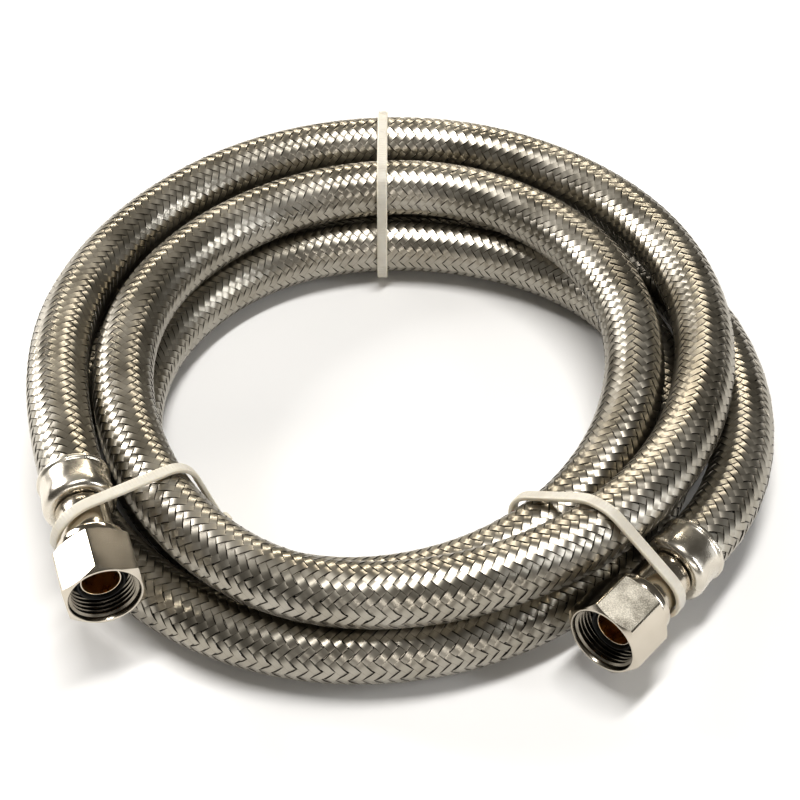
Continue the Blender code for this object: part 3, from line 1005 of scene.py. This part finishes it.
# %% Ridge, swept along the helix
def ridge_point(share_of_depth, share_of_pitch):
    """A point of the ridge's section. Its foot goes a little into the wall of the nut."""
    out = maths(thread_tree, "MULTIPLY", depth, share_of_depth)
    side = maths(thread_tree, "MULTIPLY", knob["Pitch"], share_of_pitch)
    return add_node(thread_tree, "ShaderNodeCombineXYZ", {0: out, 1: side}).outputs[0]


ridge = add_node(
    thread_tree,
    "GeometryNodeCurvePrimitiveQuadrilateral",
    {
        "Point 1": ridge_point(-0.15, -0.47),
        "Point 2": ridge_point(1.0, -0.10),
        "Point 3": ridge_point(1.0, 0.10),
        "Point 4": ridge_point(-0.15, 0.47),
    },
    mode="POINTS",
)
swept = add_node(
    thread_tree,
    "GeometryNodeCurveToMesh",
    {"Curve": facing.outputs[0], "Profile Curve": ridge.outputs[0], "Fill Caps": True},
)
end_shape_tree(thread_tree, given, swept.outputs[0])
print("the thread tree has", len(thread_tree.nodes), "nodes")

# %% Threads
THREAD_START, THREAD_TURNS = 25.4 * MM, 8.3
threads = {}
for side in FITTINGS:
    place = fitting_place(side) @ Matrix.Translation((0, 0, THREAD_START))
    # The tree draws its own helix, so it only needs an object to run on.
    holder = line_object("thread_holder_" + side, np.zeros((2, 3)))
    thread = grow(
        holder,
        thread_tree,
        "nut_thread_" + side,
        place,
        Thread_Turns=THREAD_TURNS,
        # The thread gets the nickel in painted shade.
        Material=mouth_shade_nickel,
    )
    face_outwards(thread.data)
    thread.data.set_sharp_from_angle(angle=math.radians(30))
    threads[side] = thread

# %% [markdown]
# ## Ties
#
# Each tie is a thin nylon strap drawn tight round the strands that cross its plane. Such a band
# takes the shortest way round, which is the convex outline of all that it encloses, grown by
# half its thickness. It could be drawn by hand, but then it would cut into a strand or float
# off it. So the outline is worked out from points on the hose's surface, and then a tree sweeps
# the strap's section along it and sets a fine rib across it every 0.75 mm.

# %% Sizes and places of the ties
STRAP_WIDTH, STRAP_THICK = 2.6 * MM, 1.1 * MM
STRAP_GAP = 0.3 * MM
STRAP_REACH = 30 * MM
# Middle of the bundle from the coil's centre in mm, heading of its plane, head's side and height
TIES = {
    "tie_top": ((0.5, 64), 90, 1, 12),
    "tie_left": ((-52.8, -53.2), 38, 1, 4.5),
    "tie_right": ((48.5, -57.8), -38, -1, 4.5),
}
print("straps are", STRAP_WIDTH / MM, "mm wide and", STRAP_THICK / MM, "mm thick")

# %% Points over the bundle
FERRULE_START, NECK_START, NUT_REAR = 1.5 * MM, 11.1 * MM, 20.5 * MM
FERRULE_RADIUS, NECK_RADIUS = 7.85 * MM, 5.7 * MM
HOSE_RING_SPACING, FITTING_RING_SPACING = 0.6 * MM, 0.4 * MM


def fitting_radius(depth):
    """Outer radius of a fitting at a depth from its rear end, behind its nut."""
    if depth < FERRULE_START:
        return HOSE_RADIUS
    return FERRULE_RADIUS if depth < NECK_START else NECK_RADIUS


def bundle_surface():
    """Points over the outside of the hose, the ferrules and the necks."""
    rings = []
    # The solid model's hose has fewer points on its route, so both routes are enclosed.
    for points in (hose_route(40), hose_route(3)):
        for a, b in zip(points[:-1], points[1:]):
            pieces = max(1, round(np.linalg.norm(b - a) / HOSE_RING_SPACING))
            rings += [(a + (b - a) * i / pieces, b - a, HOSE_RADIUS) for i in range(pieces)]
    for side in FITTINGS:
        rear, out = (np.array(v) for v in fitting_axis(side))
        for depth in np.arange(0, NUT_REAR, FITTING_RING_SPACING):
            rings.append((rear + out * depth, out, fitting_radius(depth)))
    middle, along = (np.array([ring[i] for ring in rings]) for i in (0, 1))
    along /= np.linalg.norm(along, axis=1)[:, None]
    radius = np.array([ring[2] for ring in rings])[:, None]
    across = np.cross(along, [0, 0, 1])
    across /= np.linalg.norm(across, axis=1)[:, None]
    up = np.cross(across, along)
    turns = np.radians(np.arange(0, 360, 10))
    return np.concatenate([middle + radius * (across * np.cos(t) + up * np.sin(t)) for t in turns])


surface = bundle_surface()
print("outlines are taken from", len(surface), "points")


# %% Outline of a strap
def hull(points):
    """Convex outline, anticlockwise."""
    points = sorted(map(tuple, points))

    def chain(ordered):
        line = []
        for p in ordered:
            while len(line) > 1:
                (ax, ay), (bx, by) = line[-2:]
                if (bx - ax) * (p[1] - ay) - (by - ay) * (p[0] - ax) > 0:
                    break
                line.pop()
            line.append(p)
        return line[:-1]

    return np.array(chain(points) + chain(points[::-1]))


def tie_place(name):
    """X runs across the bundle, Y runs up and Z along the strands."""
    (x, y), heading, _, _ = TIES[name]
    middle = COIL_CENTRE + Vector((x, y, 0)) * MM
    turn = Matrix.Rotation(math.radians(heading), 4, "Z") @ Matrix.Rotation(math.pi / 2, 4, "X")
    return Matrix.Translation(middle) @ turn


def strap_outline(name, spacing):
    """The strap's middle line in its own plane, in even steps of about that spacing."""
    place = tie_place(name)
    across, middle = np.array(place.col[0][:3]), np.array(place.translation)
    normal = np.cross(across, [0, 0, 1])
    offset = surface - middle
    near = np.abs(offset @ normal) < STRAP_WIDTH / 2 + STRAP_GAP
    near &= np.linalg.norm(offset[:, :2], axis=1) < STRAP_REACH
    flat = np.c_[offset[near] @ across, surface[near][:, 2]]
    clearance = STRAP_GAP + STRAP_THICK / 2
    turns = np.radians(np.arange(0, 360, 15))
    grown = [flat + clearance * np.array([math.cos(t), math.sin(t)]) for t in turns]
    outline = hull(np.concatenate(grown))
    closed = np.vstack([outline, outline[:1]])
    along = np.r_[0, np.cumsum(np.linalg.norm(np.diff(closed, axis=0), axis=1))]
    count = round(along[-1] / spacing)
    places = np.linspace(0, along[-1], count, endpoint=False)
    return np.c_[np.interp(places, along, closed[:, 0]), np.interp(places, along, closed[:, 1])]


for name in TIES:
    print(name, "goes round in", len(strap_outline(name, MM)), "mm")

# %% [markdown]
# The strap's section is a flat bar with soft corners. The ribs are very low, so that they show
# as a fine ladder in the light. Each is one small box, set on points along the outline: a tree
# sets hundreds of them from one box.

# %% Tree for a ribbed strap
RIB_SPACING, RIB_HEIGHT = 0.75 * MM, 0.03 * MM
RIB_LENGTH_SHARE, RIB_WIDTH_SHARE = 0.74, 0.5
strap_tree, given = new_shape_tree(
    "ribbed strap",
    {
        "Strap Width": ("Float", STRAP_WIDTH),
        "Strap Thickness": ("Float", STRAP_THICK),
        "Rib Spacing": ("Float", RIB_SPACING),
        "Rib Height": ("Float", RIB_HEIGHT),
        "Material": ("Material", None),
    },
)
knob = given.outputs
facing = add_node(
    strap_tree,
    "GeometryNodeSetCurveNormal",
    {0: knob["Geometry"], "Normal": (0.0, 0.0, 1.0)},
    mode="FREE",
)
print("the strap faces outwards all the way round")

# %% Band of the strap
flat_section = add_node(
    strap_tree,
    "GeometryNodeCurvePrimitiveQuadrilateral",
    {"Width": knob["Strap Width"], "Height": knob["Strap Thickness"]},
    mode="RECTANGLE",
)
corner_radius = maths(strap_tree, "MULTIPLY", knob["Strap Thickness"], 0.3)
soft_section = add_node(
    strap_tree,
    "GeometryNodeFilletCurve",
    {"Curve": flat_section.outputs[0], "Radius": corner_radius, "Count": 3},
    mode="POLY",
)
band = add_node(
    strap_tree,
    "GeometryNodeCurveToMesh",
    {"Curve": facing.outputs[0], "Profile Curve": soft_section.outputs[0]},
)
print("the band is swept")

# %% Ribs on the band
rib_points = add_node(
    strap_tree,
    "GeometryNodeCurveToPoints",
    {"Curve": facing.outputs[0], "Length": knob["Rib Spacing"]},
    mode="LENGTH",
)
rib_size = add_node(
    strap_tree,
    "ShaderNodeCombineXYZ",
    {
        0: maths(strap_tree, "MULTIPLY", knob["Strap Width"], RIB_LENGTH_SHARE),
        1: maths(strap_tree, "MULTIPLY", knob["Rib Height"], 2.0),
        2: maths(strap_tree, "MULTIPLY", knob["Rib Spacing"], RIB_WIDTH_SHARE),
    },
)
rib = add_node(strap_tree, "GeometryNodeMeshCube", {"Size": rib_size.outputs[0]})
ribs = add_node(
    strap_tree,
    "GeometryNodeInstanceOnPoints",
    {
        "Points": rib_points.outputs["Points"],
        "Instance": rib.outputs["Mesh"],
        "Rotation": rib_points.outputs["Rotation"],
    },
)
lift = add_node(
    strap_tree,
    "ShaderNodeCombineXYZ",
    {1: maths(strap_tree, "MULTIPLY", knob["Strap Thickness"], 0.5)},
)
raised = add_node(
    strap_tree,
    "GeometryNodeTranslateInstances",
    {"Instances": ribs.outputs[0], "Translation": lift.outputs[0], "Local Space": True},
)
both = add_node(strap_tree, "GeometryNodeJoinGeometry")
strap_tree.links.new(band.outputs[0], both.inputs[0])
strap_tree.links.new(raised.outputs[0], both.inputs[0])
end_shape_tree(strap_tree, given, both.outputs[0])
print("the strap tree has", len(strap_tree.nodes), "nodes")

# %% Straps
STRAP_STEP = 0.6 * MM
straps = {}
for name in TIES:
    outline = strap_outline(name, STRAP_STEP)
    flat = np.c_[outline, np.zeros(len(outline))]
    strap = grow(
        line_object(name + "_outline", flat, cyclic=True),
        strap_tree,
        name + "_strap",
        tie_place(name),
        Material=natural_nylon,
    )
    strap.data.set_sharp_from_angle(angle=math.radians(40))
    straps[name] = strap

# %% [markdown]
# ## Heads of the ties
#
# Each tie ends in a locking head: a small block with a slot through it, and the cut end of the
# strap standing out of the slot. A box with bevelled edges and a Boolean cut for the slot give
# it, and it sits astride the strap, low on the bundle.


# %% Boxes
def add_box(name, size, place, bevel):
    """A box about the middle of its place, with its edges bevelled."""
    form = bmesh.new()
    bmesh.ops.create_cube(form, size=1)
    bmesh.ops.scale(form, vec=size, verts=form.verts)
    if bevel:
        bmesh.ops.bevel(
            form, geom=form.edges[:], offset=bevel, segments=3, profile=0.5, affect="EDGES"
        )
    mesh = bpy.data.meshes.new(name)
    form.to_mesh(mesh)
    form.free()
    mesh.transform(place)
    obj = bpy.data.objects.new(name, mesh)
    bpy.context.scene.collection.objects.link(obj)
    return obj


print("boxes can be made")

# %% Place of a head
# The solid model's strap has steps of this size, and its head is on one of them.
SOLID_STRAP_STEP = 2.2 * MM


def head_place(name):
    """X runs along the strap, and Y inwards, at the head's own side and height of the bundle."""
    _, _, side, height = TIES[name]
    outline = strap_outline(name, SOLID_STRAP_STEP)
    on_side = [i for i in range(len(outline)) if side * outline[i][0] > 0]
    index = min(on_side, key=lambda i: abs(outline[i][1] - height * MM))
    before, after = outline[index - 1], outline[(index + 1) % len(outline)]
    lean = math.atan2(after[1] - before[1], after[0] - before[0])
    middle = Matrix.Translation((*outline[index], 0))
    return tie_place(name) @ middle @ Matrix.Rotation(lean, 4, "Z")


for name in TIES:
    print(name, "has its head at", [round(v / MM, 1) for v in head_place(name).translation], "mm")

# %% Heads and cut ends
HEAD_SIZE = Vector((4.6, 3.6, 4.8)) * MM
HEAD_FIT = 0.98
SLOT_SIZE = Vector((9, 1.5, 3.0)) * MM
SLOT_DEPTH_SHARE = 0.62
TAIL_LENGTH = 2.5 * MM
HEAD_BEVEL, TAIL_BEVEL = 0.5 * MM, 0.25 * MM
heads = {}
for name in TIES:
    place = head_place(name)
    # The outline runs anticlockwise, so its outer side is to the right of its direction.
    outward = Matrix.Translation((0, -(HEAD_SIZE.y - STRAP_THICK) / 2, 0))
    head = add_box(name + "_head", HEAD_SIZE * HEAD_FIT, place @ outward, HEAD_BEVEL)
    slot_height = -(HEAD_SIZE.y - STRAP_THICK) * SLOT_DEPTH_SHARE
    slot_place = place @ Matrix.Translation((0, slot_height, 0))
    slot = add_box("slot", SLOT_SIZE, slot_place, 0)
    cut = head.modifiers.new("slot", "BOOLEAN")
    cut.object = slot
    head = plain_mesh(head, name + "_head")
    bpy.data.objects.remove(slot)
    tail_place = slot_place @ Matrix.Translation((TAIL_LENGTH / 2, 0, 0))
    tail_size = Vector((HEAD_SIZE.x + TAIL_LENGTH, STRAP_THICK, STRAP_WIDTH))
    tail = add_box(name + "_tail", tail_size, tail_place, TAIL_BEVEL)
    for piece in (head, tail):
        piece.data.materials.clear()
        piece.data.materials.append(natural_nylon)
        piece.data.shade_smooth()
        piece.data.set_sharp_from_angle(angle=math.radians(35))
    heads[name] = (head, tail)
print("heads:", ", ".join(heads))

# %% [markdown]
# ## Which body each piece rides on
#
# The frame knows five bodies: the line itself, two retaining rings that slide on the necks, and
# two nuts that spin on the rings. A piece that rides on a body moves with it. The solid that a
# piece stands for is hidden, and stays in the physics model. The retaining rings are out of
# sight, so their solids are shown as they are.

# %% Hose
for lot in ribbon_lots:
    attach(lot, "line")
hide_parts("braid_sleeve")
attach(rubber_tube, "line")
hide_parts("inner_tube")
print("pieces of the hose:", len(ribbon_lots) + 1)

# %% Fittings
for side in FITTINGS:
    for piece, body, slot, node in (
        (ferrules[side], "line", "ferrule", "ferrule_" + side),
        (stems[side], "line", "insert", "stem_" + side),
        (washers[side], "line", "seal", "cone_washer_" + side),
        (nuts[side], "nut_" + side, "nut", "nut_" + side),
    ):
        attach(piece, body)
        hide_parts(node)
    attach(threads[side], "nut_" + side)
    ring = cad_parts["retaining_ring_" + side]
    ring.data.materials.clear()
    ring.data.materials.append(spring_steel)
print("nuts ride on:", ", ".join("nut_" + side for side in FITTINGS))

# %% Ties
for name in TIES:
    for piece in (straps[name], *heads[name]):
        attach(piece, "line")
    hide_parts(name)
print("ties ride on: line")

# %% [markdown]
# The hose is a cord: a fixed length of something flexible, with a fitting on its far end. Its
# length is the length of its route.

# %% Cord
print("every piece rides on a body, and the cord is", round(HOSE_LENGTH, 3), "m long")

# %% [markdown]
# ## Floor and light
#
# A plain pale floor and soft boxes, as for a catalogue picture. Polished metal shows only what
# it reflects, so the boxes are long: each gives every strand its own row of bright glints, with
# darkness between them.

# %% Floor
FLOOR_HALF = 3.0
FLOOR_DROP = 0.2 * MM
corners = [(x * FLOOR_HALF, y * FLOOR_HALF, 0) for x, y in ((-1, -1), (1, -1), (1, 1), (-1, 1))]
floor_mesh = bpy.data.meshes.new("floor")
floor_mesh.from_pydata(corners, [], [(0, 1, 2, 3)])
floor = bpy.data.objects.new("floor", floor_mesh)
bpy.context.scene.collection.objects.link(floor)
floor.location.z = -FLOOR_DROP
pale_floor, tree, shader = new_material("pale floor", Metallic=0.0)
add_patches(tree, shader, (0.86, 0.86, 0.86), (0.89, 0.89, 0.89), 0.6, 0.7, 0.3)
floor_mesh.materials.append(pale_floor)
print("the floor is", 2 * FLOOR_HALF, "m across")


# %% Lights
def soft_box(name, place, size, power, colour):
    """A long lamp that faces the middle of the coil."""
    light = bpy.data.lights.new(name, "AREA")
    light.shape = "RECTANGLE"
    light.size, light.size_y = size
    light.energy = power
    light.color = colour
    obj = bpy.data.objects.new(name, light)
    bpy.context.scene.collection.objects.link(obj)
    obj.location = place
    obj.rotation_euler = (Vector(place) - COIL_MIDDLE).to_track_quat("Z", "Y").to_euler()


COIL_MIDDLE = Vector((0, 0, 0.02))
soft_box("top_box", (0.05, -0.05, 0.9), (0.55, 0.10), 5.8, (1, 0.98, 0.95))
soft_box("front_box", (0.15, -0.85, 0.34), (0.7, 0.08), 1.3, (1, 0.96, 0.92))
soft_box("back_box", (-0.05, 0.85, 0.42), (0.7, 0.07), 2.8, (1, 0.92, 0.78))
soft_box("left_box", (-0.76, 0.42, 0.46), (0.25, 0.5), 6.4, (1, 0.98, 0.96))
soft_box("right_box", (0.85, -0.25, 0.36), (0.08, 0.6), 2.3, (0.95, 0.97, 1))

# %% Room and contrast
# A dim, warm room keeps the dark parts of the reflections from going black.
world = bpy.data.worlds.new("studio")
bpy.context.scene.world = world
world.use_nodes = True
room = world.node_tree.nodes["Background"]
room.inputs["Color"].default_value = (0.20, 0.19, 0.17, 1)
room.inputs["Strength"].default_value = 0.5
bpy.context.scene.view_settings.view_transform = "Standard"
bpy.context.scene.view_settings.look = "Medium High Contrast"
print("contrast:", bpy.context.scene.view_settings.look)
